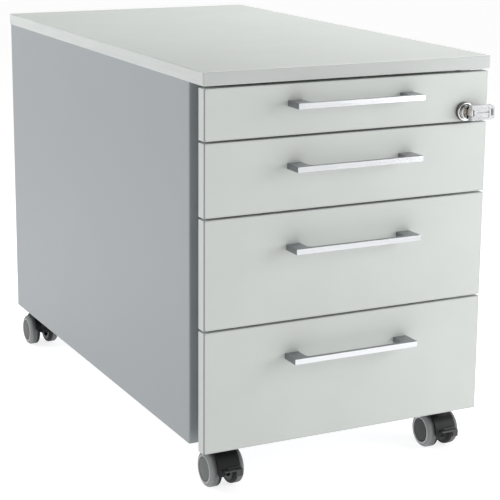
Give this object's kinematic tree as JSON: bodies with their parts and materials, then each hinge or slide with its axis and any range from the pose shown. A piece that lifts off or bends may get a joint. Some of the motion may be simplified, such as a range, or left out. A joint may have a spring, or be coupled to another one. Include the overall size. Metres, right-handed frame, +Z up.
{
  "type": "mobile drawer pedestal",
  "caption": "Low steel filing cabinet on twin-wheel casters, with a board top and board-fronted drawers on full-extension slides, bow handles and a central lock with a folding key.",
  "frame": {"origin": "on the floor, under the middle of the overall envelope", "axes": "+Z up, -Y out of the drawer fronts, +X to the right of a person who faces them"},
  "size_m": [0.433, 0.808, 0.57],
  "materials": {
    "body_silver": "satin silver paint",
    "tray_grey": "satin paint",
    "board_grey": "satin melamine",
    "edge_grey": "satin",
    "handle_metal": "satin",
    "zinc_steel": "zinc plated",
    "lock_nickel": "nickel plated",
    "key_plastic": "gloss",
    "tyre_grey": "satin soft tread",
    "hub_dark": "fine grain",
    "housing_black": "satin"
  },
  "bodies": {
    "root": {"left_side_panel": "body_silver", "right_side_panel": "body_silver", "back_panel": "body_silver", "base_panel": "body_silver", "top_rails": "body_silver", "rail_uprights": "body_silver", "top_board": "board_grey", "top_edge_bands": "edge_grey", "outer_rails": "zinc_steel", "caster_plates": "body_silver", "caster_stems": "zinc_steel", "carcass_screws": "zinc_steel", "lock_bar_guides": "zinc_steel"},
    "drawer_1": {"drawer_1_front": "board_grey", "drawer_1_handle": "handle_metal", "drawer_1_tray": "tray_grey", "drawer_1_inner_rails": "zinc_steel", "lock_cylinder": "lock_nickel"},
    "middle_rails_1": {"drawer_1_middle_rails": "zinc_steel"},
    "drawer_2": {"drawer_2_front": "board_grey", "drawer_2_handle": "handle_metal", "drawer_2_tray": "tray_grey", "drawer_2_inner_rails": "zinc_steel"},
    "middle_rails_2": {"drawer_2_middle_rails": "zinc_steel"},
    "drawer_3": {"drawer_3_front": "board_grey", "drawer_3_handle": "handle_metal", "drawer_3_tray": "tray_grey", "drawer_3_inner_rails": "zinc_steel"},
    "middle_rails_3": {"drawer_3_middle_rails": "zinc_steel"},
    "drawer_4": {"drawer_4_front": "board_grey", "drawer_4_handle": "handle_metal", "drawer_4_tray": "tray_grey", "drawer_4_inner_rails": "zinc_steel"},
    "middle_rails_4": {"drawer_4_middle_rails": "zinc_steel"},
    "lock_plug": {"lock_plug": "lock_nickel"},
    "key": {"key_blade": "lock_nickel"},
    "key_fold": {"key_head": "key_plastic"},
    "lock_bar": {"lock_bar": "zinc_steel"},
    "caster_front_left": {"caster_front_left_housing": "housing_black"},
    "brake_front_left": {"brake_lever_front_left": "housing_black"},
    "wheel_front_left_left": {"wheel_front_left_left_tyre": "tyre_grey", "wheel_front_left_left_hub": "hub_dark"},
    "wheel_front_left_right": {"wheel_front_left_right_tyre": "tyre_grey", "wheel_front_left_right_hub": "hub_dark"},
    "caster_front_right": {"caster_front_right_housing": "housing_black"},
    "brake_front_right": {"brake_lever_front_right": "housing_black"},
    "wheel_front_right_left": {"wheel_front_right_left_tyre": "tyre_grey", "wheel_front_right_left_hub": "hub_dark"},
    "wheel_front_right_right": {"wheel_front_right_right_tyre": "tyre_grey", "wheel_front_right_right_hub": "hub_dark"},
    "caster_rear_left": {"caster_rear_left_housing": "housing_black"},
    "wheel_rear_left_left": {"wheel_rear_left_left_tyre": "tyre_grey", "wheel_rear_left_left_hub": "hub_dark"},
    "wheel_rear_left_right": {"wheel_rear_left_right_tyre": "tyre_grey", "wheel_rear_left_right_hub": "hub_dark"},
    "caster_rear_right": {"caster_rear_right_housing": "housing_black"},
    "wheel_rear_right_left": {"wheel_rear_right_left_tyre": "tyre_grey", "wheel_rear_right_left_hub": "hub_dark"},
    "wheel_rear_right_right": {"wheel_rear_right_right_tyre": "tyre_grey", "wheel_rear_right_right_hub": "hub_dark"}
  },
  "joints": [
    {"name": "drawer_1_slide", "type": "slide", "parent": "root", "child": "drawer_1", "axis": [0, -1, 0], "range_m": [0, 0.6]},
    {"name": "middle_rails_1_slide", "type": "slide", "parent": "root", "child": "middle_rails_1", "axis": [0, -1, 0], "range_m": [0, 0.3]},
    {"name": "drawer_2_slide", "type": "slide", "parent": "root", "child": "drawer_2", "axis": [0, -1, 0], "range_m": [0, 0.6]},
    {"name": "middle_rails_2_slide", "type": "slide", "parent": "root", "child": "middle_rails_2", "axis": [0, -1, 0], "range_m": [0, 0.3]},
    {"name": "drawer_3_slide", "type": "slide", "parent": "root", "child": "drawer_3", "axis": [0, -1, 0], "range_m": [0, 0.6]},
    {"name": "middle_rails_3_slide", "type": "slide", "parent": "root", "child": "middle_rails_3", "axis": [0, -1, 0], "range_m": [0, 0.3]},
    {"name": "drawer_4_slide", "type": "slide", "parent": "root", "child": "drawer_4", "axis": [0, -1, 0], "range_m": [0, 0.6]},
    {"name": "middle_rails_4_slide", "type": "slide", "parent": "root", "child": "middle_rails_4", "axis": [0, -1, 0], "range_m": [0, 0.3]},
    {"name": "lock_plug_turn", "type": "hinge", "parent": "drawer_1", "child": "lock_plug", "pos_m": [0.177, -0.38, 0.4948], "axis": [0, 1, 0], "range_deg": [0, 90]},
    {"name": "key_pull", "type": "slide", "parent": "lock_plug", "child": "key", "axis": [0, -1, 0], "range_m": [0, 0.03]},
    {"name": "key_fold_turn", "type": "hinge", "parent": "key", "child": "key_fold", "pos_m": [0.177, -0.39175, 0.4948], "axis": [0, 0, -1], "range_deg": [0, 180]},
    {"name": "lock_bar_lift", "type": "slide", "parent": "root", "child": "lock_bar", "axis": [0, 0, 1], "range_m": [0, 0.008]},
    {"name": "caster_front_left_swivel", "type": "hinge", "parent": "root", "child": "caster_front_left", "pos_m": [-0.172, -0.32, 0.0587], "axis": [0, 0, 1], "continuous": true},
    {"name": "brake_front_left_press", "type": "hinge", "parent": "caster_front_left", "child": "brake_front_left", "pos_m": [-0.172, -0.36479, 0.031], "axis": [1, 0, 0], "range_deg": [0, 15]},
    {"name": "wheel_front_left_left_roll", "type": "hinge", "parent": "caster_front_left", "child": "wheel_front_left_left", "pos_m": [-0.172, -0.338, 0.025], "axis": [1, 0, 0], "continuous": true},
    {"name": "wheel_front_left_right_roll", "type": "hinge", "parent": "caster_front_left", "child": "wheel_front_left_right", "pos_m": [-0.172, -0.338, 0.025], "axis": [1, 0, 0], "continuous": true},
    {"name": "caster_front_right_swivel", "type": "hinge", "parent": "root", "child": "caster_front_right", "pos_m": [0.172, -0.32, 0.0587], "axis": [0, 0, 1], "continuous": true},
    {"name": "brake_front_right_press", "type": "hinge", "parent": "caster_front_right", "child": "brake_front_right", "pos_m": [0.172, -0.36479, 0.031], "axis": [1, 0, 0], "range_deg": [0, 15]},
    {"name": "wheel_front_right_left_roll", "type": "hinge", "parent": "caster_front_right", "child": "wheel_front_right_left", "pos_m": [0.172, -0.338, 0.025], "axis": [1, 0, 0], "continuous": true},
    {"name": "wheel_front_right_right_roll", "type": "hinge", "parent": "caster_front_right", "child": "wheel_front_right_right", "pos_m": [0.172, -0.338, 0.025], "axis": [1, 0, 0], "continuous": true},
    {"name": "caster_rear_left_swivel", "type": "hinge", "parent": "root", "child": "caster_rear_left", "pos_m": [-0.188, 0.346, 0.0587], "axis": [0, 0, 1], "continuous": true},
    {"name": "wheel_rear_left_left_roll", "type": "hinge", "parent": "caster_rear_left", "child": "wheel_rear_left_left", "pos_m": [-0.188, 0.364, 0.025], "axis": [1, 0, 0], "continuous": true},
    {"name": "wheel_rear_left_right_roll", "type": "hinge", "parent": "caster_rear_left", "child": "wheel_rear_left_right", "pos_m": [-0.188, 0.364, 0.025], "axis": [1, 0, 0], "continuous": true},
    {"name": "caster_rear_right_swivel", "type": "hinge", "parent": "root", "child": "caster_rear_right", "pos_m": [0.188, 0.346, 0.0587], "axis": [0, 0, 1], "continuous": true},
    {"name": "wheel_rear_right_left_roll", "type": "hinge", "parent": "caster_rear_right", "child": "wheel_rear_right_left", "pos_m": [0.188, 0.364, 0.025], "axis": [1, 0, 0], "continuous": true},
    {"name": "wheel_rear_right_right_roll", "type": "hinge", "parent": "caster_rear_right", "child": "wheel_rear_right_right", "pos_m": [0.188, 0.364, 0.025], "axis": [1, 0, 0], "continuous": true}
  ],
  "couplings": [
    {"joint": "middle_rails_1_slide", "follows": "drawer_1_slide", "ratio": 0.5},
    {"joint": "middle_rails_2_slide", "follows": "drawer_2_slide", "ratio": 0.5},
    {"joint": "middle_rails_3_slide", "follows": "drawer_3_slide", "ratio": 0.5},
    {"joint": "middle_rails_4_slide", "follows": "drawer_4_slide", "ratio": 0.5},
    {"joint": "lock_plug_turn", "follows": "lock_bar_lift", "rad_per_m": 196.35}
  ]
}
